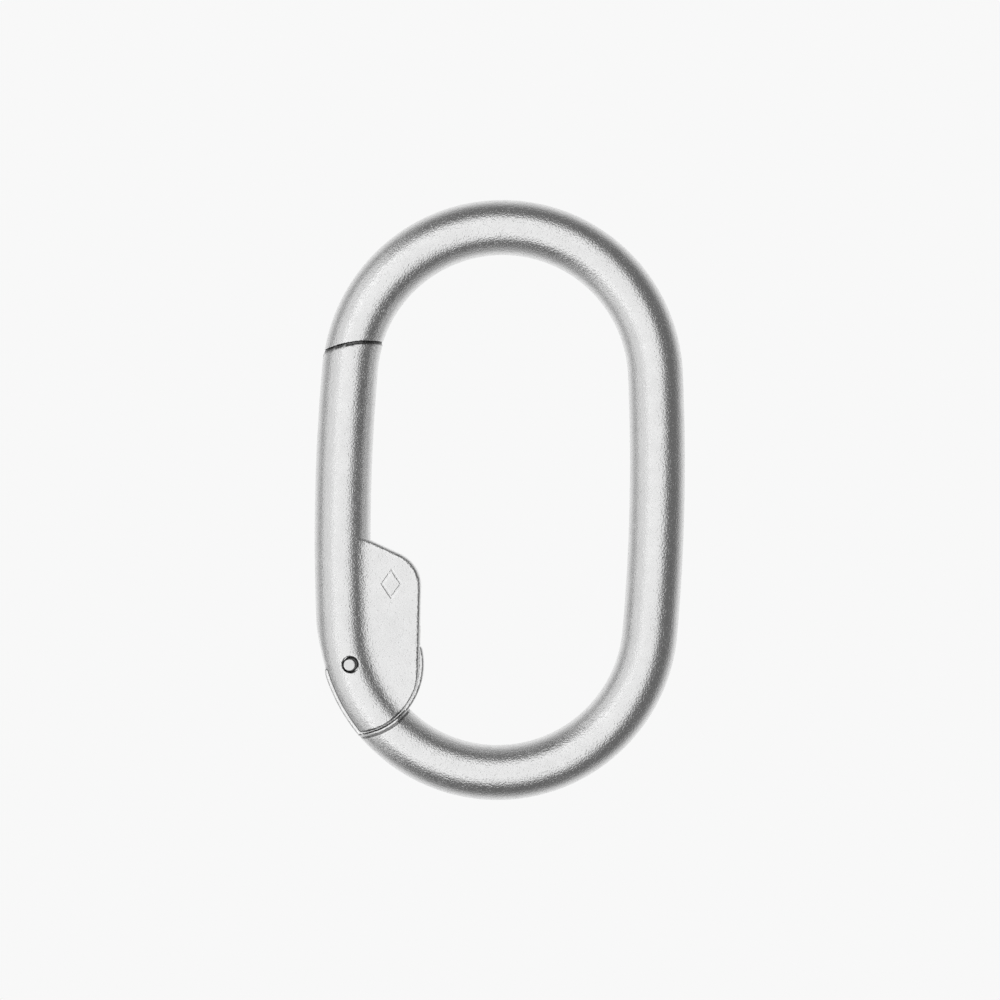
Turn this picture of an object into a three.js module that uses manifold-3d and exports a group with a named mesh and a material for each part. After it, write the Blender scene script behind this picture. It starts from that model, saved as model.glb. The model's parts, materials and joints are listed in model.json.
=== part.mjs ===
// An oval carabiner keyring. A round-bar frame is open along its left leg. A round gate closes the
// gap: it straddles a flat tongue on the frame, turns on a cross pin, and a small coil spring in
// the pocket of its thumb pad pushes it shut against the frame's nose.
//
// Millimetres. +Z runs up the ring's long axis and +Y through its thickness, so the front faces -Y.
// Everything is laid out from the ring's middle, and the whole group is then lowered so that the
// origin lies where the ring hangs: the inside of the top bow.

import * as THREE from "three";
import { mergeVertices } from "three/addons/utils/BufferGeometryUtils.js";
import Module from "manifold-3d";

const wasm = await Module();
wasm.setup();

// The ring
const ringLength = 60;
const ringWidth = 36.9;
const barRadius = 2.75;
const bowRadius = 15.3; // of the bar's centreline round the top and bottom bows

// The gate's arm and its seam with the nose
const armRadius = 2.8;
const seamRadius = 11.6;
const seamGap = 0.2;
const seamHeight = 3.88; // of the seam arc's centre above the ring's middle
const seamOffset = -13.12; // of the seam arc's centre from the long axis

// The hinge
const pinHeading = THREE.MathUtils.degToRad(198.1); // where the pin crosses the bar
const pinRadius = 0.75;
const pinLength = 5.4;
const pinChamfer = 0.2;
const pressClearance = 0.02;
const runningClearance = 0.05;
const openAngle = THREE.MathUtils.degToRad(30);

// The frame's tongue, in the gate's slot
const tongueThickness = 2.5;
const tongueReach = 7.3; // rim radius about the pin
const tongueTop = 2; // top edge above the pin, and the hub's radius
const tongueCorner = 0.35;
const tongueLedge = -0.6; // where the round outer edge begins, below the pin
const shoulderRadius = 7.05; // where the full round bar begins again, about the pin

// The gate's cheeks, slot and thumb pad
const cheekRadius = 6.9;
const skinEnd = new THREE.Vector2(-2.6, -0.46); // lower end of the arm's outer skin
const skinFlatTop = new THREE.Vector2(-3.48, 3.0); // where the flat on the outer skin fades out
const slotWidth = 2.7;
const slotClearance = 0.15;
const slotMouth = 3.9; // the slot is open to the right up to here, above the pin
const padThickness = 4;
const padEdge = 6.94; // the pad's straight edge, right of the pin
const padTop = 10.14; // height of the pad's sharp corner above the pin, before rounding
const padSlope = THREE.MathUtils.degToRad(23.6);
const padCorner = 3.7;

// The spring and its pocket
const pocketLeft = 3.2;
const pocketRight = 5.9;
const pocketTop = 8.6;
const wireRadius = 0.16;
const coilRadius = 1;
const coilTurns = 7;
const springClearance = 0.05;

// How finely round things are faceted
const barSides = 28;
const barStep = 1.6;
const discSides = 96;
const arcSegments = 12; // along each round stretch of an outline
const boreSides = 32;
const wireSides = 6;
const wireStepsPerTurn = 12;

const beyond = 12; // how far the cutting shapes run past the metal

const halfLength = ringLength / 2 - barRadius;
const halfWidth = ringWidth / 2 - barRadius;
const bowCentre = halfLength - bowRadius;
const legRadius =
  (halfWidth ** 2 + bowCentre ** 2 - bowRadius ** 2) / (2 * (halfWidth - bowRadius));
const legHeading = Math.asin(bowCentre / (legRadius - bowRadius));
const hangHeight = halfLength - barRadius;

const satinSteel = { color: 0xc4c4c2, roughness: 0.45, metalness: 1 };
const polishedSteel = { color: 0xb9b9b8, roughness: 0.25, metalness: 1 };
const springSteel = { color: 0x9a9a9a, roughness: 0.35, metalness: 1 };

// The centreline is four arcs. A heading is the direction, anticlockwise from +X as seen from the
// front, in which the bar's outer side faces: 0 on the right leg, 90 degrees at the top bow.
function arcAt(heading) {
  const turn = Math.PI * 2;
  const h = ((heading % turn) + turn) % turn;
  if (h > legHeading && h < Math.PI - legHeading) {
    return { x: 0, z: bowCentre, radius: bowRadius };
  }
  if (h > Math.PI + legHeading && h < turn - legHeading) {
    return { x: 0, z: -bowCentre, radius: bowRadius };
  }
  const side = Math.cos(h) > 0 ? -1 : 1;
  return { x: side * (legRadius - halfWidth), z: 0, radius: legRadius };
}

function centrelineAt(heading) {
  const arc = arcAt(heading);
  return new THREE.Vector3(
    arc.x + arc.radius * Math.cos(heading),
    0,
    arc.z + arc.radius * Math.sin(heading),
  );
}

// A stretch of the centreline between two headings
class RingPath extends THREE.Curve {
  constructor(startHeading, endHeading) {
    super();
    this.startHeading = startHeading;
    this.endHeading = endHeading;
    this.arcLengthDivisions = 400;
  }

  getPoint(t) {
    return centrelineAt(THREE.MathUtils.lerp(this.startHeading, this.endHeading, t));
  }
}

const pin = centrelineAt(pinHeading);

// A closed geometry as a solid that can be cut and joined
function solidOf(geometry) {
  const bare = geometry.clone();
  bare.deleteAttribute("normal");
  bare.deleteAttribute("uv");
  const merged = mergeVertices(bare, 1e-5);
  return new wasm.Manifold(
    new wasm.Mesh({
      numProp: 3,
      vertProperties: new Float32Array(merged.attributes.position.array),
      triVerts: new Uint32Array(merged.index.array),
    }),
  );
}

function geometryOf(solid) {
  const mesh = solid.getMesh();
  const geometry = new THREE.BufferGeometry();
  geometry.setAttribute("position", new THREE.BufferAttribute(mesh.vertProperties, 3));
  geometry.setIndex(new THREE.BufferAttribute(mesh.triVerts, 1));
  geometry.computeVertexNormals();
  return geometry;
}

// A round bar along a stretch of the ring, in coordinates about the pin
function bar(radius, startHeading, endHeading) {
  const path = new RingPath(startHeading, endHeading);
  const section = new THREE.Shape().absarc(0, 0, radius, 0, Math.PI * 2, false);
  const geometry = new THREE.ExtrudeGeometry(section, {
    extrudePath: path,
    steps: Math.ceil(path.getLength() / barStep),
    curveSegments: barSides / 2,
  });
  geometry.translate(-pin.x, 0, -pin.z);
  return solidOf(geometry);
}

// A flat plate across the ring's thickness, from an outline drawn as (x, z) about the pin
function plate(outline, thickness) {
  const geometry = new THREE.ExtrudeGeometry(outline, {
    depth: thickness,
    bevelEnabled: false,
    curveSegments: arcSegments / 2,
  });
  geometry.translate(0, 0, -thickness / 2);
  geometry.rotateX(Math.PI / 2);
  return solidOf(geometry);
}

// A disc on an axis along Y, about the pin
function disc(radius, thickness, sides = discSides) {
  return solidOf(new THREE.CylinderGeometry(radius, radius, thickness, sides));
}

// The nose's concave end face follows the seam arc.
function noseCutter() {
  const geometry = new THREE.CylinderGeometry(
    seamRadius + seamGap / 2,
    seamRadius + seamGap / 2,
    beyond,
    discSides,
  );
  geometry.translate(seamOffset - pin.x, 0, seamHeight - pin.z);
  return solidOf(geometry);
}

// The part of the tongue right of the bar: a hub round the pin, a level top edge, and a rim that
// runs down into the bar
function tongueOutline() {
  const cornerX = Math.sqrt((tongueReach - tongueCorner) ** 2 - (tongueTop - tongueCorner) ** 2);
  const cornerZ = tongueTop - tongueCorner;
  const rimStart = Math.atan2(cornerZ, cornerX);
  const rimEnd = THREE.MathUtils.degToRad(-58);
  const hubEnd = THREE.MathUtils.degToRad(225);
  return new THREE.Shape()
    .moveTo(0, tongueTop)
    .lineTo(cornerX, tongueTop)
    .absarc(cornerX, cornerZ, tongueCorner, Math.PI / 2, rimStart, true)
    .absarc(0, 0, tongueReach, rimStart, rimEnd, true)
    .absarc(0, 0, tongueTop, hubEnd, Math.PI / 2, true);
}

// Everything below the ledge where the tongue's round outer edge begins. The ledge's outer corner
// is in line with the end of the gate's skin.
function belowLedge() {
  return new THREE.Shape()
    .moveTo(skinEnd.x, tongueLedge)
    .lineTo(beyond, tongueLedge)
    .lineTo(beyond, -beyond)
    .lineTo(-beyond, -beyond)
    .lineTo(-beyond, 2 * tongueLedge)
    .lineTo(skinEnd.x, 2 * tongueLedge);
}

function frameSolid() {
  const noseHeading = THREE.MathUtils.degToRad(172);
  const hubHeading = pinHeading - Math.PI * 2 - THREE.MathUtils.degToRad(8);
  const roundBar = bar(barRadius, noseHeading, hubHeading);
  const tongueCore = roundBar.intersect(plate(belowLedge(), tongueThickness));
  return roundBar
    .subtract(noseCutter())
    .subtract(disc(shoulderRadius, beyond))
    .add(tongueCore)
    .add(plate(tongueOutline(), tongueThickness))
    .subtract(disc(pinRadius + runningClearance, beyond, boreSides));
}

// The gate seen from the front: the seam arc at its tip, the cheek arc round the pin at its
// bottom, and the short flat on its outer skin. The other stretches run past the arm and the pad.
function gateOutline() {
  const seamX = seamOffset - pin.x;
  const seamZ = seamHeight - pin.z;
  const tipRadius = seamRadius - seamGap / 2;
  const tipStart = THREE.MathUtils.degToRad(120);
  const tipEnd = THREE.MathUtils.degToRad(75);
  const cheekEnd = THREE.MathUtils.degToRad(-100);
  const flatSlope = new THREE.Vector2().subVectors(skinFlatTop, skinEnd);
  return new THREE.Shape()
    .absarc(seamX, seamZ, tipRadius, tipStart, tipEnd, true)
    .lineTo(beyond, seamZ)
    .lineTo(beyond, 0)
    .absarc(0, 0, cheekRadius, 0, cheekEnd, true)
    .lineTo(-beyond, skinEnd.y)
    .lineTo(skinEnd.x, skinEnd.y)
    .lineTo(skinEnd.x + 2 * flatSlope.x, skinEnd.y + 2 * flatSlope.y)
    .lineTo(-beyond, seamZ);
}

// The thumb pad: a straight edge, a rounded corner and a sloping top that runs into the arm
function padOutline() {
  const tangent = padCorner * Math.tan((Math.PI / 2 - padSlope) / 2);
  const cornerX = padEdge - padCorner;
  const cornerZ = padTop - tangent;
  const armX = -1;
  return new THREE.Shape()
    .moveTo(armX, -cheekRadius - 1)
    .lineTo(padEdge, -cheekRadius - 1)
    .lineTo(padEdge, cornerZ)
    .absarc(cornerX, cornerZ, padCorner, 0, Math.PI / 2 - padSlope, false)
    .lineTo(armX, padTop + (padEdge - armX) * Math.tan(padSlope));
}

// Room for the tongue through the gate's whole swing, with the spring's pocket above it
function slotOutline() {
  const hubRadius = tongueTop + slotClearance;
  const roofStart = Math.PI / 2 + openAngle;
  const roofZ = hubRadius / Math.cos(openAngle) + pocketLeft * Math.tan(openAngle);
  const sweepRadius = tongueReach + slotClearance;
  const skinAngle = Math.PI - Math.asin(skinEnd.y / hubRadius);
  const pocketAngle = Math.acos(pocketRight / sweepRadius);
  const mouthAngle = Math.asin(slotMouth / sweepRadius);
  return new THREE.Shape()
    .absarc(0, 0, hubRadius, skinAngle, roofStart, true)
    .lineTo(pocketLeft, roofZ)
    .lineTo(pocketLeft, pocketTop)
    .lineTo(pocketRight, pocketTop)
    .absarc(0, 0, sweepRadius, pocketAngle, mouthAngle, true)
    .lineTo(beyond, slotMouth)
    .lineTo(beyond, -beyond)
    .lineTo(-beyond, -beyond)
    .lineTo(-beyond, skinEnd.y);
}

function gateSolid() {
  const tipHeading = THREE.MathUtils.degToRad(165);
  const cheekHeading = THREE.MathUtils.degToRad(235);
  return bar(armRadius, tipHeading, cheekHeading)
    .add(plate(padOutline(), padThickness))
    .intersect(plate(gateOutline(), beyond))
    .subtract(plate(slotOutline(), slotWidth))
    .subtract(disc(pinRadius + pressClearance, beyond, boreSides));
}

// A plain pin with chamfered ends, lying along Y
function pinGeometry() {
  const end = pinLength / 2;
  const profile = [
    new THREE.Vector2(0, -end),
    new THREE.Vector2(pinRadius - pinChamfer, -end),
    new THREE.Vector2(pinRadius, -end + pinChamfer),
    new THREE.Vector2(pinRadius, end - pinChamfer),
    new THREE.Vector2(pinRadius - pinChamfer, end),
    new THREE.Vector2(0, end),
  ];
  return new THREE.LatheGeometry(profile, boreSides);
}

// The spring's wire: a helix whose first and last turns lie nearly flat
class CoilPath extends THREE.Curve {
  getPoint(t) {
    const bottom = tongueTop + springClearance + wireRadius;
    const top = pocketTop - springClearance - wireRadius;
    const flatTurn = 1 / coilTurns;
    const rise = THREE.MathUtils.clamp((t - flatTurn / 2) / (1 - flatTurn), 0, 1);
    const angle = t * coilTurns * Math.PI * 2;
    return new THREE.Vector3(
      coilRadius * Math.cos(angle),
      coilRadius * Math.sin(angle),
      THREE.MathUtils.lerp(bottom, top, rise),
    );
  }
}

function springGeometry() {
  const section = new THREE.Shape().absarc(0, 0, wireRadius, 0, Math.PI * 2, false);
  return new THREE.ExtrudeGeometry(section, {
    extrudePath: new CoilPath(),
    steps: coilTurns * wireStepsPerTurn,
    curveSegments: wireSides / 2,
  });
}

function part(name, geometry, finish) {
  const mesh = new THREE.Mesh(geometry, new THREE.MeshStandardMaterial(finish));
  mesh.name = name;
  return mesh;
}

const frame = part("frame", geometryOf(frameSolid()), satinSteel);
const gate = part("gate", geometryOf(gateSolid()), satinSteel);
const pivotPin = part("pivot_pin", pinGeometry(), polishedSteel);
const gateSpring = part("gate_spring", springGeometry(), springSteel);
gateSpring.position.x = (pocketLeft + pocketRight) / 2;

// The four pieces are all drawn about the pin.
const hinge = new THREE.Group();
hinge.position.copy(pin);
hinge.add(frame, gate, pivotPin, gateSpring);

const keyring = new THREE.Group();
keyring.position.z = -hangHeight;
keyring.add(hinge);

export default keyring;
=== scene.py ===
"""The looks of the oval carabiner keyring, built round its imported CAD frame.

The two castings are drawn as solids by signed distance, so that every fillet, rounded edge and
seam is real shape, and meshed on a grid that follows the bent bar. The pin and the spring are
swept. Shapes are worked out in millimetres about the ring's middle, and come out in metres in
the frame's own coordinates.
"""

import json
import math

import bpy
import numpy as np
from mathutils import Matrix, Vector


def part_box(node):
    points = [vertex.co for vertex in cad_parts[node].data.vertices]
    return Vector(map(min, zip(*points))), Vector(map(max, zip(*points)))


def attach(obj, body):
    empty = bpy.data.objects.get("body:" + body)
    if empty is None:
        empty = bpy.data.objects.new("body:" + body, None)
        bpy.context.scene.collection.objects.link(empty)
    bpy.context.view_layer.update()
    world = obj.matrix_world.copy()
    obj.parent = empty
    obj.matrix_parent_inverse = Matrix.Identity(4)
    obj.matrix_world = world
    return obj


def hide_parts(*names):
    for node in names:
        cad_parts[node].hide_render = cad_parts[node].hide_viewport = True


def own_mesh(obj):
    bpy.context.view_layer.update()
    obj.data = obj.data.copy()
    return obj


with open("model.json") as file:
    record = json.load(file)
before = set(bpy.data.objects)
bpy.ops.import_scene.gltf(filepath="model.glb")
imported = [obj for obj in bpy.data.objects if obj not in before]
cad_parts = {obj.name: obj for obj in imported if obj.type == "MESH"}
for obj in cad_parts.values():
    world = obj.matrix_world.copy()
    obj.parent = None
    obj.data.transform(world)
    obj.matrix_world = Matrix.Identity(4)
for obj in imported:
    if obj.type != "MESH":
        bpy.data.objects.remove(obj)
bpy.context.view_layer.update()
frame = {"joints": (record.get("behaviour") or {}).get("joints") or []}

MM = 0.001
SIZE_STEP = 0.05

# --- Sizes read from the frame, in millimetres ---------------------------------------------------


def cad_box(node):
    """A CAD node's lowest and highest corners in millimetres, to the nearest SIZE_STEP."""
    low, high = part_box(node)
    return [np.round(np.array(corner) / MM / SIZE_STEP) * SIZE_STEP for corner in (low, high)]


FRAME_LOW, FRAME_HIGH = cad_box("frame")
GATE_LOW, GATE_HIGH = cad_box("gate")
PIN_LOW, PIN_HIGH = cad_box("pivot_pin")
SPRING_LOW, SPRING_HIGH = cad_box("gate_spring")
HINGE = next(j for j in frame["joints"] if j["name"] == "gate_hinge")

BAR_RADIUS = (FRAME_HIGH[1] - FRAME_LOW[1]) / 2
ARM_RADIUS = (GATE_HIGH[1] - GATE_LOW[1]) / 2
RING_LENGTH = FRAME_HIGH[2] - FRAME_LOW[2]
HALF_LENGTH = RING_LENGTH / 2 - BAR_RADIUS
HALF_WIDTH = FRAME_HIGH[0] - BAR_RADIUS
MIDDLE = np.array([0.0, 0.0, FRAME_HIGH[2] - RING_LENGTH / 2])
PIN = np.array(HINGE["pos_m"]) / MM - MIDDLE
PIN_RADIUS = (PIN_HIGH[2] - PIN_LOW[2]) / 2
PIN_HALF_LENGTH = (PIN_HIGH[1] - PIN_LOW[1]) / 2

# --- Design sizes, in millimetres ----------------------------------------------------------------

# The ring's bows, the arc of the seam at the nose, and the gate's swing
BOW_RADIUS = 15.3
SEAM_CENTRE = (-13.12, 3.88)
SEAM_RADIUS = 11.6
SEAM_GAP = 0.2
OPEN_ANGLE = math.radians(HINGE["range_deg"][1])

# The frame's tongue, the bar's core that carries it, and the shoulder round it, about the pin
TONGUE_THICKNESS = 2.5
TONGUE_REACH = 7.3
TONGUE_TOP = 2.0
TONGUE_CORNER = 0.35
TONGUE_EDGE_ROUND = 0.28
CORE_REACH = 9
INNER_LEDGE = -0.52
OUTER_LEDGE = 2 * INNER_LEDGE
SHOULDER_RADIUS = 7.08
COLLAR_RADIUS = 7.45
COLLAR_HALF_DEPTH = 2.5
GROOVE_DEPTH = 0.18
GROOVE_WIDTH = 0.1

# The gate's cheeks, and the two ends of the flat that the outer skin finishes in, about the pin
CHEEK_RADIUS = 6.9
SKIN_END = (-2.56, -0.46)
SKIN_FLAT_TOP = (-3.48, 3.0)

# The low boss on the gate's tip, and how far it stays from the nose
BOSS_RADIUS = 2.68
BOSS_GAP = 0.02

# The gate's slot and spring pocket, about the pin
SLOT_WIDTH = 2.7
SLOT_CLEARANCE = 0.15
SLOT_MOUTH = 3.9
POCKET_LEFT = 3.2
POCKET_RIGHT = 5.9
POCKET_TOP = 8.6

# The thumb pad, about the pin
PAD_THICKNESS = 4.0
PAD_TOP = 10.14
PAD_SLOPE = math.radians(23.6)
PAD_CORNER = 3.7
PAD_FILLET = 3.2

# The pin's ends: the crowned face and how far off centre it is, the chamfer round it, how far
# past the chamfer the shank starts, and how wide the rim of painted shade round the face is
PIN_FACE_RADIUS = 0.53
PIN_FACE_SHIFT = (-0.1, -0.05)
PIN_CROWN = 0.03
PIN_CHAMFER = 0.24
PIN_CHAMFER_CURVE = 1.3
PIN_SHANK_START = 0.05
PIN_PAINTED_SHADE_WIDTH = 0.08

# The mark on the pad's front: the outline of a rhombus
MARK_CENTRE = (3.9, 8.1)
MARK_HALF_WIDTH = 0.95
MARK_HALF_HEIGHT = 1.35
MARK_DEPTH = 0.07
MARK_LINE = 0.08

# Edges and fits
PIN_CLEARANCE = 0.07
EDGE_ROUND = 0.12
PAD_EDGE_ROUND = 0.5
SHOULDER_ROUND = 0.14
SEAM_EDGE_ROUND = 0.2
NOSE_EDGE_ROUND = 0.06
SKIN_EDGE_ROUND = 0.25
CREASE = 0.05

# Mesh cells
FINE_CELL = 0.1
COARSE_CELL = 0.45
SEAM_CELL = 0.065
GATE_CELL_ALONG = 1.15 * FINE_CELL
GATE_CELL_ACROSS = 1.1 * FINE_CELL

# Headings in degrees where the frame's cells change, from the nose clockwise to the tongue
FRAME_START = 176
NOSE_CELLS_END = 156
SHOULDER_CELLS_START = -122
SHOULDER_CELLS_END = -138
FRAME_END = -173

# Headings in degrees where the gate's cells change, from the tip down to the cheeks
GATE_START = 160
TIP_CELLS_END = 168
PAD_CELLS_START = 180.5
CHEEK_CELLS_START = 221
GATE_END = 235

# How far the grids reach from the centreline, inwards and outwards
FRAME_INNER_REACH = -8.2
GATE_INNER_REACH = -12.5
OUTER_REACH = 3.0

# The grids' planes through the bar's depth. None of them may lie in a flat face of the tongue,
# slot or pad, because faces there would have no area.
DEPTH_REACH = 2.9
DEPTH_PLANES = 60
DEPTHS = np.linspace(-DEPTH_REACH, DEPTH_REACH, DEPTH_PLANES)

# How often points are moved onto a solid's surface, and the least squared slope used for it
SETTLE_PASSES = 5
LEAST_SQUARED_SLOPE = 0.05

# The spring's wire and turns, with half a turn closed at each end
WIRE_RADIUS = 0.16
SPRING_TURNS = 7
CLOSED_TURNS = 0.5

# How much an edge turns, per millimetre, where wear begins and where it is full
WEAR_START = 0.8
WEAR_FULL = 3.5

# How near the frame the painted shade on the gate's edges is full, where it ends, how deep in the
# seam it goes, and the share of it in grooves
PAINTED_SHADE_FULL = 0.26
PAINTED_SHADE_END = 0.44
PAINTED_SHADE_DEPTH = 0.9
GROOVE_PAINTED_SHADE = 0.7

# --- The ring's centreline: four arcs ------------------------------------------------------------

BOW_CENTRE = HALF_LENGTH - BOW_RADIUS
LEG_RADIUS = (HALF_WIDTH**2 + BOW_CENTRE**2 - BOW_RADIUS**2) / (2 * (HALF_WIDTH - BOW_RADIUS))
LEG_SHIFT = LEG_RADIUS - HALF_WIDTH
LEG_HEADING = math.asin(BOW_CENTRE / (LEG_RADIUS - BOW_RADIUS))


def centreline(heading):
    """Points of the bar's centreline where its outer side faces heading, and the arcs' radii."""
    heading = np.asarray(heading, float)
    across, up = np.cos(heading), np.sin(heading)
    on_bow = np.abs(up) > math.sin(LEG_HEADING)
    radius = np.where(on_bow, BOW_RADIUS, LEG_RADIUS)
    x = np.where(on_bow, 0, -np.sign(across) * LEG_SHIFT) + radius * across
    z = np.where(on_bow, np.sign(up) * BOW_CENTRE, 0) + radius * up
    return x, z, radius


def ring_offset(x, z):
    """How far points lie outside the bar's centreline, seen from the front."""
    ax, az = np.abs(x), np.abs(z)
    on_bow = az - BOW_CENTRE > ax * math.tan(LEG_HEADING)
    bow = np.hypot(ax, az - BOW_CENTRE) - BOW_RADIUS
    leg = np.hypot(ax + LEG_SHIFT, az) - LEG_RADIUS
    return np.where(on_bow, bow, leg)


# --- Joining and cutting solids given as signed distances ----------------------------------------


def join(a, b, fillet, cosine=0.0):
    """The union of two solids, with a round fillet where they meet.

    cosine is that of the angle between their outward directions.
    """
    qa, qb = fillet - a, fillet - b
    in_fillet = (qa > cosine * qb) & (qb > cosine * qa)
    ball = np.sqrt(np.maximum(qa**2 + qb**2 - 2 * cosine * qa * qb, 0) / (1 - cosine**2))
    return np.where(in_fillet, fillet - ball, np.minimum(a, b))


def overlap(a, b, rounding, cosine=0.0):
    """What two solids share, with its edge rounded."""
    return -join(-a, -b, rounding, cosine)


def smooth_step(x, low, high):
    t = np.clip((x - low) / (high - low), 0, 1)
    return t * t * (3 - 2 * t)


def seam_distance(x, z):
    """How far points lie from the seam arc's centre, or beside it where they are below it."""
    sx, sz = x - SEAM_CENTRE[0], z - SEAM_CENTRE[1]
    return np.where(sz > 0, np.hypot(sx, sz), np.abs(sx))


# --- The frame -----------------------------------------------------------------------------------


def tongue(x, y, z):
    """The flat plate that the gate straddles: a hub, a rim beside the bar, and the bar's core.

    The core's top is a step: at INNER_LEDGE on the ring's inner side of the skin's end, and at
    OUTER_LEDGE on its outer side.
    """
    px, pz = x - PIN[0], z - PIN[2]
    reach = np.hypot(px, pz)
    offset = ring_offset(x, z)
    bar = np.hypot(offset, y) - BAR_RADIUS
    rim = overlap(reach - TONGUE_REACH, pz - TONGUE_TOP, TONGUE_CORNER)
    plate = np.minimum(reach - TONGUE_TOP, np.maximum(rim, -px))
    plate = np.maximum(plate, np.minimum(bar, offset))
    inner_top = np.maximum(pz - INNER_LEDGE, SKIN_END[0] - px)
    square = np.maximum(np.abs(offset) - BAR_RADIUS, reach - SHOULDER_RADIUS - EDGE_ROUND)
    core = np.minimum(square, np.maximum(bar, reach - CORE_REACH))
    core = overlap(core, np.minimum(inner_top, pz - OUTER_LEDGE), EDGE_ROUND)
    solid = np.minimum(plate, core)
    return overlap(solid, np.abs(y) - TONGUE_THICKNESS / 2, TONGUE_EDGE_ROUND)


def frame_solid(x, y, z):
    """The round bar, cut off at the nose and shoulder, with a sunk collar next to the tongue."""
    px, pz = x - PIN[0], z - PIN[2]
    reach = np.hypot(px, pz)
    bar = np.hypot(ring_offset(x, z), y) - BAR_RADIUS
    outside_collar = COLLAR_RADIUS - reach
    bar = overlap(bar, np.minimum(outside_collar, np.abs(y) - COLLAR_HALF_DEPTH), EDGE_ROUND)
    bar += GROOVE_DEPTH * np.exp(-((outside_collar / GROOVE_WIDTH) ** 2))
    seam = SEAM_RADIUS + SEAM_GAP / 2 - seam_distance(x, z)
    solid = overlap(bar, np.where(pz > 0, seam, -BAR_RADIUS), NOSE_EDGE_ROUND)
    solid = overlap(solid, SHOULDER_RADIUS - reach, SHOULDER_ROUND)
    solid = join(solid, tongue(x, y, z), CREASE)
    return overlap(solid, PIN_RADIUS + PIN_CLEARANCE - reach, CREASE)


# --- The gate ------------------------------------------------------------------------------------


def arm_with_pad(px, y, pz, offset):
    """The round arm and the flat thumb pad that grows out of its inner side in a ball fillet."""
    depth = np.abs(y)
    arm = np.hypot(offset, y) - ARM_RADIUS
    slab = np.maximum(depth - PAD_THICKNESS / 2, offset)
    ball_depth = PAD_THICKNESS / 2 + PAD_FILLET
    ball_offset = -math.sqrt((ARM_RADIUS + PAD_FILLET) ** 2 - ball_depth**2)
    in_fillet = (offset > ball_offset) & (-offset * ball_depth > -ball_offset * depth)
    fillet = PAD_FILLET - np.hypot(offset - ball_offset, depth - ball_depth)
    padded = np.where(in_fillet, fillet, np.minimum(arm, slab))
    right = px - CHEEK_RADIUS
    top = (pz - PAD_TOP) * math.cos(PAD_SLOPE) + right * math.sin(PAD_SLOPE)
    outline = overlap(right, top, PAD_CORNER, math.sin(PAD_SLOPE))
    return np.minimum(arm, overlap(padded, outline, PAD_EDGE_ROUND))


def slot(px, y, pz):
    """Room for the tongue through the gate's whole swing, and the spring's pocket."""
    reach = np.hypot(px, pz)
    hub_radius = TONGUE_TOP + SLOT_CLEARANCE
    sweep = TONGUE_REACH + SLOT_CLEARANCE
    roof = pz * math.cos(OPEN_ANGLE) - px * math.sin(OPEN_ANGLE) - hub_radius
    swing = np.maximum(np.maximum(reach - sweep, roof), -px - 2 * SLOT_CLEARANCE)
    pocket = np.maximum(np.maximum(POCKET_LEFT - px, px - POCKET_RIGHT), pz - POCKET_TOP)
    pocket = np.maximum(pocket, -pz)
    mouth = np.maximum(pz - SLOT_MOUTH, POCKET_LEFT - px)
    below = pz - SKIN_END[1]
    outline = np.minimum(reach - hub_radius, swing)
    outline = np.minimum(outline, np.minimum(np.minimum(pocket, mouth), below))
    return overlap(outline, np.abs(y) - SLOT_WIDTH / 2, CREASE)


def mark_groove(px, y, pz):
    """How deep the mark's line is cut into the pad's front face."""
    across = np.abs(px - MARK_CENTRE[0]) / MARK_HALF_WIDTH
    up = np.abs(pz - MARK_CENTRE[1]) / MARK_HALF_HEIGHT
    scale = MARK_HALF_WIDTH * MARK_HALF_HEIGHT / math.hypot(MARK_HALF_WIDTH, MARK_HALF_HEIGHT)
    from_line = (across + up - 1) * scale
    return np.where(y < 0, MARK_DEPTH * np.exp(-((from_line / MARK_LINE) ** 2)), 0)


def gate_solid(x, y, z):
    """The arm and pad, ended by the seam, the cheek arc and the skin's flat, and slotted.

    A low boss on the arm's tip closes the seam behind its edges.
    """
    px, pz = x - PIN[0], z - PIN[2]
    reach = np.hypot(px, pz)
    offset = ring_offset(x, z)
    solid = arm_with_pad(px, y, pz, offset) + mark_groove(px, y, pz)
    cheek = np.where(pz < 0, reach, px) - CHEEK_RADIUS
    solid = overlap(solid, cheek, SEAM_EDGE_ROUND)
    tip = seam_distance(x, z) - (SEAM_RADIUS - SEAM_GAP / 2)
    solid = overlap(solid, tip, SEAM_EDGE_ROUND)
    boss = np.maximum(np.hypot(offset, y) - BOSS_RADIUS, tip - SEAM_GAP + BOSS_GAP)
    solid = np.minimum(solid, np.maximum(boss, SEAM_CENTRE[1] - z))
    run = np.array(SKIN_FLAT_TOP) - np.array(SKIN_END)
    run /= np.linalg.norm(run)
    flat = -(px - SKIN_END[0]) * run[1] + (pz - SKIN_END[1]) * run[0]
    flat = np.where(pz > SKIN_END[1], flat, flat - (SKIN_END[1] - pz))
    solid = overlap(solid, flat, SKIN_EDGE_ROUND)
    solid = overlap(solid, -slot(px, y, pz), CREASE)
    return overlap(solid, PIN_RADIUS + PIN_CLEARANCE - reach, EDGE_ROUND)


# --- Meshing -------------------------------------------------------------------------------------


def stations(start, end, step_at):
    """Headings from start to end, spaced along the bar by step_at(heading) millimetres."""
    found = [start]
    direction = math.copysign(1, end - start)
    while (end - found[-1]) * direction > 0:
        heading = found[-1]
        radius = float(centreline(heading)[2])
        found.append(heading + direction * step_at(heading) / radius)
    return np.array(found)


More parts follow.
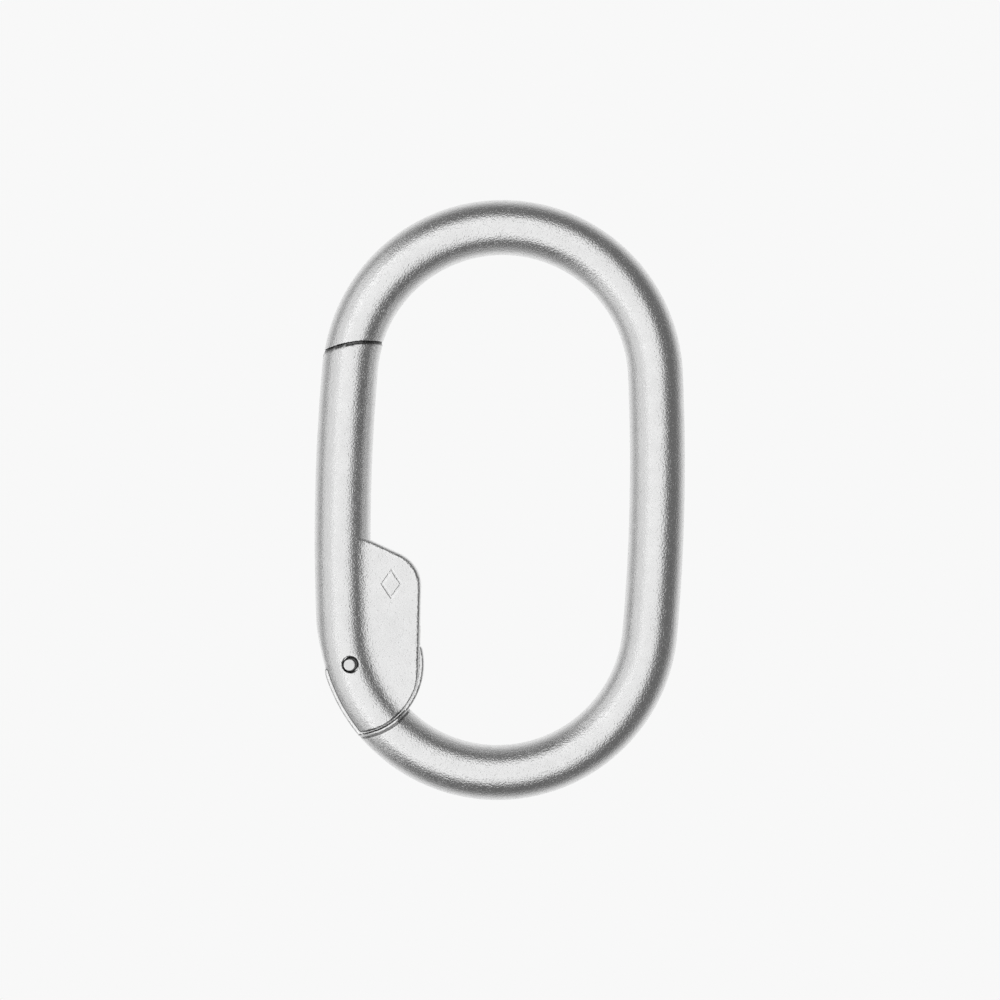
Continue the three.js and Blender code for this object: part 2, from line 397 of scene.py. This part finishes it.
def surface_nets(values):
    """The zero surface of a 3-D array: points in index coordinates, and four-sided faces."""
    inside = values < 0
    shape = np.array(values.shape)
    count = np.zeros(values.size)
    total = np.zeros((3, values.size))
    strides = np.array([shape[1] * shape[2], shape[2], 1])
    faces = []
    for axis in range(3):
        b, c = (axis + 1) % 3, (axis + 2) % 3
        step = np.zeros(3, int)
        step[axis] = 1
        low = tuple(slice(0, n - s) for n, s in zip(shape, step))
        high = tuple(slice(s, n) for n, s in zip(shape, step))
        start = np.argwhere(inside[low] != inside[high])
        v0 = values[tuple(start.T)]
        v1 = values[tuple((start + step).T)]
        crossing = start + step * (v0 / (v0 - v1))[:, None]
        corners = []
        for db, dc in ((-1, -1), (0, -1), (0, 0), (-1, 0)):
            cell = start.copy()
            cell[:, b] += db
            cell[:, c] += dc
            corners.append(cell @ strides)
            count += np.bincount(corners[-1], minlength=values.size)
            for k in range(3):
                total[k] += np.bincount(corners[-1], crossing[:, k], minlength=values.size)
        quad = np.stack(corners, 1)
        turned = ~inside[tuple(start.T)]
        quad[turned] = quad[turned][:, ::-1]
        faces.append(quad)
    used = np.flatnonzero(count)
    new_index = np.full(values.size, -1)
    new_index[used] = np.arange(len(used))
    points = (total[:, used] / count[used]).T
    return points, new_index[np.concatenate(faces)]


def gradient(solid, points, reach=0.004):
    """How the signed distance changes at each point along x, y and z."""
    slope = np.empty_like(points)
    for k in range(3):
        step = np.zeros(3)
        step[k] = reach
        ahead = solid(*(points + step).T)
        behind = solid(*(points - step).T)
        slope[:, k] = (ahead - behind) / (2 * reach)
    return slope


def edge_wear(solid, points, reach=0.08):
    """How sharply the surface turns outward at each point: 0 on flats, towards 1 on edges."""
    bend = -6 * solid(*points.T)
    for k in range(3):
        step = np.zeros(3)
        step[k] = reach
        bend += solid(*(points + step).T) + solid(*(points - step).T)
    return smooth_step(bend / reach**2, WEAR_START, WEAR_FULL)


def frame_painted_shade(x, y, z):
    """Painted shade on the frame, from 0 to 1: in the collar's groove."""
    px, pz = x - PIN[0], z - PIN[2]
    in_groove = np.exp(-(((np.hypot(px, pz) - COLLAR_RADIUS) / GROOVE_WIDTH) ** 2))
    return np.where(pz < 0, GROOVE_PAINTED_SHADE * in_groove, 0)


def gate_painted_shade(x, y, z):
    """Painted shade on the gate, from 0 to 1: on its edges next to the frame, and in the pin's
    hole.
    """
    reach = np.hypot(x - PIN[0], z - PIN[2])
    in_slot = (np.abs(y) < SLOT_WIDTH / 2 + CREASE) & (reach < SHOULDER_RADIUS)
    near_frame = 1 - smooth_step(frame_solid(x, y, z), PAINTED_SHADE_FULL, PAINTED_SHADE_END)
    outer = arm_with_pad(x - PIN[0], y, z - PIN[2], ring_offset(x, z))
    near_frame *= smooth_step(outer, -PAINTED_SHADE_DEPTH, -PAINTED_SHADE_DEPTH / 2)
    in_hole = 1 - smooth_step(reach, PIN_RADIUS + PIN_CLEARANCE, PIN_RADIUS + 2 * PIN_CLEARANCE)
    return np.maximum(np.where(in_slot, 0, near_frame), GROOVE_PAINTED_SHADE * in_hole)


def set_values(piece, name, values):
    """Stores one number for each of the mesh's points, for the materials to read."""
    attribute = piece.data.attributes.new(name, "FLOAT", "POINT")
    attribute.data.foreach_set("value", values.astype(np.float32))


def mesh_solid(name, solid, painted_shade, headings, offsets, depths):
    """An object of a solid, meshed on a grid that follows the bar."""
    cx, cz, _ = centreline(headings)
    x = cx[:, None] + np.cos(headings)[:, None] * offsets
    z = cz[:, None] + np.sin(headings)[:, None] * offsets
    grid_x, grid_y = np.broadcast_arrays(x[:, :, None], depths)
    grid_z = np.broadcast_to(z[:, :, None], grid_x.shape)
    index, faces = surface_nets(solid(grid_x, grid_y, grid_z))
    heading = np.interp(index[:, 0], np.arange(len(headings)), headings)
    offset = np.interp(index[:, 1], np.arange(len(offsets)), offsets)
    depth = np.interp(index[:, 2], np.arange(len(depths)), depths)
    cx, cz, _ = centreline(heading)
    points = np.stack([cx + offset * np.cos(heading), depth, cz + offset * np.sin(heading)], 1)
    for _ in range(SETTLE_PASSES):
        slope = gradient(solid, points)
        squared = np.maximum((slope**2).sum(1), LEAST_SQUARED_SLOPE)
        distance = np.clip(solid(*points.T), -FINE_CELL, FINE_CELL)
        points -= slope * (distance / squared)[:, None]
    slope = gradient(solid, points)
    outward = slope / np.linalg.norm(slope, axis=1)[:, None]
    corners = points[faces]
    facing = np.cross(corners[:, 2] - corners[:, 0], corners[:, 3] - corners[:, 1])
    if (facing * outward[faces[:, 0]]).sum() < 0:
        faces = faces[:, ::-1]
    piece = make_object(name, points, faces.tolist())
    piece.data.normals_split_custom_set_from_vertices(outward.tolist())
    set_values(piece, "wear", edge_wear(solid, points))
    # Painted shade: darkening stored for the seams, grooves and the pin's hole
    set_values(piece, "painted_shade", painted_shade(*points.T))
    return piece


def make_object(name, points, faces):
    """A smooth-shaded object in the frame's coordinates, from millimetres about the middle."""
    mesh = bpy.data.meshes.new(name)
    mesh.from_pydata(((points + MIDDLE) * MM).tolist(), [], faces)
    mesh.shade_smooth()
    piece = bpy.data.objects.new(name, mesh)
    bpy.context.scene.collection.objects.link(piece)
    return piece


def straight_steps(start, end, step):
    """Even steps from start to end, as near to step as they can be."""
    return np.linspace(start, end, int(round((end - start) / step)) + 1)


def build_frame():
    """The cast C of the frame: nose, bows, plain leg, shoulder and tongue."""
    def step_at(heading):
        if heading > math.radians(NOSE_CELLS_END):
            return FINE_CELL
        if heading > math.radians(SHOULDER_CELLS_START):
            return COARSE_CELL
        return SEAM_CELL if heading > math.radians(SHOULDER_CELLS_END) else FINE_CELL

    headings = stations(math.radians(FRAME_START), math.radians(FRAME_END), step_at)
    offsets = straight_steps(FRAME_INNER_REACH, OUTER_REACH, FINE_CELL)
    return mesh_solid("ring_frame", frame_solid, frame_painted_shade, headings, offsets, DEPTHS)


def build_gate():
    """The cast gate: its arm, slotted cheeks and hollow thumb pad."""
    def step_at(heading):
        if math.radians(TIP_CELLS_END) < heading < math.radians(PAD_CELLS_START):
            return COARSE_CELL
        return SEAM_CELL if heading > math.radians(CHEEK_CELLS_START) else GATE_CELL_ALONG

    headings = stations(math.radians(GATE_START), math.radians(GATE_END), step_at)
    offsets = straight_steps(GATE_INNER_REACH, OUTER_REACH, GATE_CELL_ACROSS)
    return mesh_solid("ring_gate", gate_solid, gate_painted_shade, headings, offsets, DEPTHS)


# --- Pin and spring ------------------------------------------------------------------------------


def tube_faces(rings, sides):
    """Four-sided faces between rings of points that follow one another."""
    faces = []
    for ring in range(rings - 1):
        row, next_row = ring * sides, (ring + 1) * sides
        for k in range(sides):
            after = (k + 1) % sides
            faces.append((row + k, row + after, next_row + after, next_row + k))
    return faces


def build_pin():
    """The cross pin: a plain shank whose ends have a crowned face and a wide chamfer.

    The faces were ground a little off centre.
    """
    sides = 72
    crown_shares = (0.25, 0.5, 0.75, 1)
    chamfer_shares = (0.12, 0.3, 0.6, 0.85, 0.97)
    crown = [(PIN_FACE_RADIUS * share, PIN_CROWN * (1 - share**2)) for share in crown_shares]
    chamfer = PIN_RADIUS - PIN_FACE_RADIUS
    edge = [
        (PIN_FACE_RADIUS + chamfer * share, -PIN_CHAMFER * share**PIN_CHAMFER_CURVE)
        for share in chamfer_shares
    ]
    shank = [(PIN_RADIUS, -PIN_CHAMFER - PIN_SHANK_START)]
    half = [(radius, PIN_HALF_LENGTH - PIN_CROWN + rise) for radius, rise in crown + edge + shank]
    profile = half + [(radius, -depth) for radius, depth in reversed(half)]
    turn = np.linspace(0, math.tau, sides, endpoint=False)
    points = []
    for radius, depth in profile:
        share = 1 - smooth_step(radius, PIN_FACE_RADIUS, PIN_RADIUS)
        x, z = PIN[0] + PIN_FACE_SHIFT[0] * share, PIN[2] + PIN_FACE_SHIFT[1] * share
        points += [(x + radius * math.cos(a), depth, z + radius * math.sin(a)) for a in turn]
    faces = tube_faces(len(profile), sides)
    front, back = len(points), len(points) + 1
    middle_x, middle_z = PIN[0] + PIN_FACE_SHIFT[0], PIN[2] + PIN_FACE_SHIFT[1]
    points.append((middle_x, PIN_HALF_LENGTH, middle_z))
    points.append((middle_x, -PIN_HALF_LENGTH, middle_z))
    last = (len(profile) - 1) * sides
    for k in range(sides):
        after = (k + 1) % sides
        faces.append((front, after, k))
        faces.append((back, last + k, last + after))
    piece = make_object("cross_pin", np.array(points), faces)
    from_axis = np.hypot(*(np.array(points)[:, [0, 2]] - [middle_x, middle_z]).T)
    # Painted shade over the chamfer and shank round the face, where the pin meets its hole
    rim = smooth_step(from_axis, PIN_FACE_RADIUS, PIN_FACE_RADIUS + PIN_PAINTED_SHADE_WIDTH)
    set_values(piece, "painted_shade", GROOVE_PAINTED_SHADE * rim)
    return piece


def build_spring():
    """The closing spring: a round-wire coil with closed end turns."""
    per_turn = 40
    sides = 14
    coil = (SPRING_HIGH[1] - SPRING_LOW[1]) / 2 - WIRE_RADIUS
    axis_x = (SPRING_HIGH[0] + SPRING_LOW[0]) / 2 - MIDDLE[0]
    bottom = SPRING_LOW[2] - MIDDLE[2] + WIRE_RADIUS
    top = SPRING_HIGH[2] - MIDDLE[2] - WIRE_RADIUS
    t = np.linspace(0, 1, SPRING_TURNS * per_turn + 1)
    closed = CLOSED_TURNS / SPRING_TURNS
    rise = np.clip((t - closed) / (1 - 2 * closed), 0, 1)
    angle = t * SPRING_TURNS * math.tau
    centre = np.stack([
        axis_x + coil * np.cos(angle),
        coil * np.sin(angle),
        bottom + (top - bottom) * rise,
    ], 1)
    along = np.gradient(centre, axis=0)
    along /= np.linalg.norm(along, axis=1)[:, None]
    outward = np.stack([np.cos(angle), np.sin(angle), 0 * angle], 1)
    across = np.cross(along, outward)
    around = np.linspace(0, math.tau, sides, endpoint=False)
    ring = outward[:, None] * np.cos(around)[:, None] + across[:, None] * np.sin(around)[:, None]
    points = (centre[:, None] + WIRE_RADIUS * ring).reshape(-1, 3)
    faces = tube_faces(len(centre), sides)
    first = tuple(reversed(range(sides)))
    last = tuple(range(len(points) - sides, len(points)))
    return make_object("closing_spring", points, faces + [first, last])


ring_frame = build_frame()
ring_gate = build_gate()
cross_pin = build_pin()
closing_spring = build_spring()

for piece, node, body, slot_name in (
    (ring_frame, "frame", "frame", "satin_metal"),
    (ring_gate, "gate", "gate", "satin_metal"),
    (cross_pin, "pivot_pin", "gate", "pin_metal"),
    (closing_spring, "gate_spring", "gate", "spring_metal"),
):
    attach(piece, body)
    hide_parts(node)

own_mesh(closing_spring)

# --- Materials -----------------------------------------------------------------------------------

# The dark grey painted into seams, grooves and the pin's hole as shade
PAINTED_SHADE_TONE = 0.14

# The castings' textures: the size of their features, and how high they rise, in metres
GRAIN_SIZE = 0.00016
GRAIN_HEIGHT = 0.00003
PIT_SIZE = 0.0002
PIT_HEIGHT = 0.00001
CLOUD_SIZE = 0.0015
SCRATCH_SIZE = 0.0011
SCRATCH_HEIGHT = 0.0000015

# The pin's and the spring wire's textures, in the same way
PIN_MARK_SIZE = 0.0002
PIN_MARK_HEIGHT = 0.000006
PIN_CLOUD_SIZE = 0.0004
WIRE_LINE_SIZE = 0.0001
WIRE_LINE_HEIGHT = 0.000004
WIRE_STAIN_SIZE = 0.0006


class Metal:
    """A bare metal, with short ways to add the textures that it needs."""

    def __init__(self, name):
        self.material = bpy.data.materials.new(name)
        self.material.use_nodes = True
        self.tree = self.material.node_tree
        self.shader = self.tree.nodes["Principled BSDF"]
        self.shader.inputs["Metallic"].default_value = 1.0
        self.bump = None

    def noise(self, size, detail, stretch=(1, 1, 1), turn=(0, 0, 0)):
        """Noise with features of a size in metres, drawn out by stretch."""
        place = self.tree.nodes.new("ShaderNodeTexCoord")
        mapping = self.tree.nodes.new("ShaderNodeMapping")
        mapping.inputs["Rotation"].default_value = turn
        mapping.inputs["Scale"].default_value = [1 / share for share in stretch]
        texture = self.tree.nodes.new("ShaderNodeTexNoise")
        texture.inputs["Scale"].default_value = 1 / size
        texture.inputs["Detail"].default_value = detail
        self.tree.links.new(place.outputs["Object"], mapping.inputs["Vector"])
        self.tree.links.new(mapping.outputs["Vector"], texture.inputs["Vector"])
        return texture.outputs["Fac"]

    def attribute(self, name):
        node = self.tree.nodes.new("ShaderNodeAttribute")
        node.attribute_name = name
        return node.outputs["Fac"]

    def spread(self, value, low, high, to_low, to_high):
        """The range low to high of a value, mapped onto to_low to to_high."""
        node = self.tree.nodes.new("ShaderNodeMapRange")
        for name, number in (
            ("From Min", low), ("From Max", high), ("To Min", to_low), ("To Max", to_high),
        ):
            node.inputs[name].default_value = number
        self.tree.links.new(value, node.inputs["Value"])
        return node.outputs["Result"]

    def calculate(self, operation, first, second):
        node = self.tree.nodes.new("ShaderNodeMath")
        node.operation = operation
        self.tree.links.new(first, node.inputs[0])
        self.tree.links.new(second, node.inputs[1])
        return node.outputs["Value"]

    def tone(self, value, dark, light):
        """A grey between dark and light, which painted shade in seams and hollows turns nearly
        black.
        """
        node = self.tree.nodes.new("ShaderNodeValToRGB")
        node.color_ramp.elements[0].color = (dark, dark, dark, 1)
        node.color_ramp.elements[1].color = (light, light, light, 1)
        self.tree.links.new(value, node.inputs["Fac"])
        shade_mix = self.tree.nodes.new("ShaderNodeMix")
        shade_mix.data_type = "RGBA"
        shade_mix.inputs["B"].default_value = (PAINTED_SHADE_TONE, PAINTED_SHADE_TONE, PAINTED_SHADE_TONE, 1)
        self.tree.links.new(self.attribute("painted_shade"), shade_mix.inputs["Factor"])
        self.tree.links.new(node.outputs["Color"], shade_mix.inputs["A"])
        self.tree.links.new(shade_mix.outputs["Result"], self.shader.inputs["Base Color"])

    def roughen(self, value):
        self.tree.links.new(value, self.shader.inputs["Roughness"])

    def raise_surface(self, value, height):
        """Lifts the surface by a value, up to a height in metres, on top of earlier lifts."""
        node = self.tree.nodes.new("ShaderNodeBump")
        node.inputs["Strength"].default_value = 1.0
        node.inputs["Distance"].default_value = height
        self.tree.links.new(value, node.inputs["Height"])
        if self.bump:
            self.tree.links.new(self.bump, node.inputs["Normal"])
        self.bump = node.outputs["Normal"]
        self.tree.links.new(self.bump, self.shader.inputs["Normal"])


def cast_metal():
    """A blasted casting: fine grain, a cloudy tone, stray scratches and edges worn brighter."""
    metal = Metal("satin_metal")
    grain = metal.noise(GRAIN_SIZE, detail=1.0)
    pits = metal.spread(
        metal.noise(PIT_SIZE, detail=1.0), low=0.34, high=0.44, to_low=-1.0, to_high=0.0
    )
    clouds = metal.noise(CLOUD_SIZE, detail=4.0)
    strokes = metal.noise(SCRATCH_SIZE, detail=1.0, stretch=(4, 4, 0.06), turn=(0.3, 0.9, 0.2))
    scratches = metal.spread(strokes, low=0.72, high=0.76, to_low=0.0, to_high=-1.0)
    wear = metal.attribute("wear")
    worn_share = metal.spread(clouds, low=0.35, high=0.6, to_low=0.4, to_high=1.0)
    worn = metal.calculate("MULTIPLY", wear, worn_share)
    cloudy = metal.spread(clouds, low=0.3, high=0.7, to_low=0.0, to_high=0.6)
    # tone() darkens the base colour with the painted shade in seams, grooves and the pin's hole
    metal.tone(metal.calculate("ADD", cloudy, worn), dark=0.86, light=0.95)
    blasted = metal.spread(grain, low=0.3, high=0.7, to_low=0.25, to_high=0.31)
    polish = metal.spread(worn, low=0.0, high=1.0, to_low=0.0, to_high=-0.12)
    metal.roughen(metal.calculate("ADD", blasted, polish))
    metal.raise_surface(grain, GRAIN_HEIGHT)
    metal.raise_surface(pits, PIT_HEIGHT)
    metal.raise_surface(scratches, SCRATCH_HEIGHT)
    return metal.material


def turned_metal():
    """A turned pin: fine marks across its ends and a slightly uneven shine."""
    metal = Metal("turned_pin")
    marks = metal.noise(PIN_MARK_SIZE, detail=2.0, stretch=(3, 3, 0.4))
    # tone() darkens the chamfer and shank with the painted shade
    metal.tone(metal.noise(PIN_CLOUD_SIZE, detail=3.0), dark=0.78, light=0.88)
    metal.roughen(metal.spread(marks, low=0.3, high=0.7, to_low=0.24, to_high=0.34))
    metal.raise_surface(marks, PIN_MARK_HEIGHT)
    return metal.material


def drawn_metal():
    """Drawn spring wire, darker, with fine lines and small stains."""
    metal = Metal("spring_wire")
    lines = metal.noise(WIRE_LINE_SIZE, detail=2.0, stretch=(3, 3, 0.5))
    metal.tone(metal.noise(WIRE_STAIN_SIZE, detail=4.0), dark=0.42, light=0.58)
    metal.roughen(metal.spread(lines, low=0.3, high=0.7, to_low=0.26, to_high=0.38))
    metal.raise_surface(lines, WIRE_LINE_HEIGHT)
    return metal.material


satin = cast_metal()
for piece, material in (
    (ring_frame, satin),
    (ring_gate, satin),
    (cross_pin, turned_metal()),
    (closing_spring, drawn_metal()),
):
    piece.data.materials.append(material)

# --- Light, floor and camera ---------------------------------------------------------------------

# The pale background and floor, and how far below the ring and how wide the floor is, in metres
PALE = 0.939
FLOOR_DROP = 0.4
FLOOR_RADIUS = 3.0

# What the metal reflects: a dim room, and a pale wall behind the ring, with where the wall starts
# and is full along the view's depth
ROOM = 0.13
WALL = 0.9
WALL_STARTS = -0.05
WALL_FULL = 0.95

# How far in front of the ring the front lamps stand, in metres
LAMP_DISTANCE = 0.5

# The camera's lens and film in millimetres, the width that it sees in metres, and its roll
CAMERA_LENS = 200.0
CAMERA_FILM = 36.0
CAMERA_FIELD = 0.1
CAMERA_ROLL = math.radians(1.24)


def world_shade(nodes, level):
    """An even grey for the world."""
    node = nodes.new("ShaderNodeBackground")
    node.inputs["Color"].default_value = (level, level, level, 1)
    return node


def studio_world():
    """A pale surround. The metal reflects a dim room with a pale wall behind the ring instead."""
    world = bpy.data.worlds.new("studio")
    bpy.context.scene.world = world
    world.use_nodes = True
    nodes, links = world.node_tree.nodes, world.node_tree.links
    nodes.clear()
    place = nodes.new("ShaderNodeTexCoord")
    split = nodes.new("ShaderNodeSeparateXYZ")
    links.new(place.outputs["Generated"], split.inputs["Vector"])
    wall = nodes.new("ShaderNodeMapRange")
    wall.interpolation_type = "SMOOTHSTEP"
    wall.inputs["From Min"].default_value = WALL_STARTS
    wall.inputs["From Max"].default_value = WALL_FULL
    wall.inputs["To Min"].default_value = ROOM
    wall.inputs["To Max"].default_value = WALL
    links.new(split.outputs["Y"], wall.inputs["Value"])
    reflected = nodes.new("ShaderNodeBackground")
    links.new(wall.outputs["Result"], reflected.inputs["Color"])
    path = nodes.new("ShaderNodeLightPath")
    on_floor = nodes.new("ShaderNodeMixShader")
    links.new(path.outputs["Is Diffuse Ray"], on_floor.inputs["Fac"])
    links.new(reflected.outputs["Background"], on_floor.inputs[1])
    links.new(world_shade(nodes, 1.0).outputs["Background"], on_floor.inputs[2])
    in_view = nodes.new("ShaderNodeMixShader")
    links.new(path.outputs["Is Camera Ray"], in_view.inputs["Fac"])
    links.new(on_floor.outputs["Shader"], in_view.inputs[1])
    links.new(world_shade(nodes, PALE).outputs["Background"], in_view.inputs[2])
    out = nodes.new("ShaderNodeOutputWorld")
    links.new(in_view.outputs["Shader"], out.inputs["Surface"])


def softbox(name, centre, width, height, radiance):
    """A flat lamp, facing the ring, that lights only the metal. Sizes are in metres."""
    data = bpy.data.lights.new(name, "AREA")
    data.shape = "RECTANGLE"
    data.size = width
    data.size_y = height
    data.energy = radiance * math.pi * width * height
    lamp = bpy.data.objects.new(name, data)
    bpy.context.scene.collection.objects.link(lamp)
    away = Vector((centre[0], 0, 0)) if abs(centre[0]) > abs(centre[1]) else Vector((0, -1, 0))
    turn = away.to_track_quat("Z", "Y").to_matrix().to_4x4()
    lamp.matrix_world = Matrix.Translation(Vector(MIDDLE * MM) + Vector(centre)) @ turn
    lamp.visible_diffuse = False


def lay_floor():
    """A pale round floor below the ring. The metal doesn't reflect it."""
    sides = 96
    level = MIDDLE[2] * MM - FLOOR_DROP
    rim = [
        (FLOOR_RADIUS * math.cos(a), FLOOR_RADIUS * math.sin(a), level)
        for a in np.linspace(0, math.tau, sides, endpoint=False)
    ]
    mesh = bpy.data.meshes.new("floor")
    mesh.from_pydata(rim, [], [tuple(range(sides))])
    floor = bpy.data.objects.new("floor", mesh)
    bpy.context.scene.collection.objects.link(floor)
    floor.visible_glossy = False
    paper = bpy.data.materials.new("pale_paper")
    paper.use_nodes = True
    shader = paper.node_tree.nodes["Principled BSDF"]
    shader.inputs["Base Color"].default_value = (PALE, PALE, PALE, 1)
    shader.inputs["Roughness"].default_value = 1.0
    shader.inputs["Specular IOR Level"].default_value = 0.0
    mesh.materials.append(paper)


def place_camera():
    """Straight on, through a long lens, with the ring turned a little clockwise in the frame."""
    distance = CAMERA_FIELD * CAMERA_LENS / CAMERA_FILM
    data = bpy.data.cameras.new("camera")
    data.lens = CAMERA_LENS
    data.sensor_width = CAMERA_FILM
    camera = bpy.data.objects.new("camera", data)
    bpy.context.scene.collection.objects.link(camera)
    level = math.radians(90)
    turn = Matrix.Rotation(level, 4, "X") @ Matrix.Rotation(CAMERA_ROLL, 4, "Z")
    stand = Vector(MIDDLE * MM) - Vector((0, distance, 0))
    camera.matrix_world = Matrix.Translation(stand) @ turn
    bpy.context.scene.camera = camera


studio_world()
softbox("front_softbox", (0, -LAMP_DISTANCE, 0), width=0.72, height=0.2, radiance=0.76)
for name, height_above in (("upper_softbox", 0.32), ("lower_softbox", -0.32)):
    centre = (-0.08, -LAMP_DISTANCE, height_above)
    softbox(name, centre, width=0.7, height=0.44, radiance=0.84)
softbox("left_softbox", (-0.3, -0.22, 0), width=0.46, height=0.76, radiance=0.6)
lay_floor()
place_camera()
bpy.context.scene.view_settings.view_transform = "Standard"
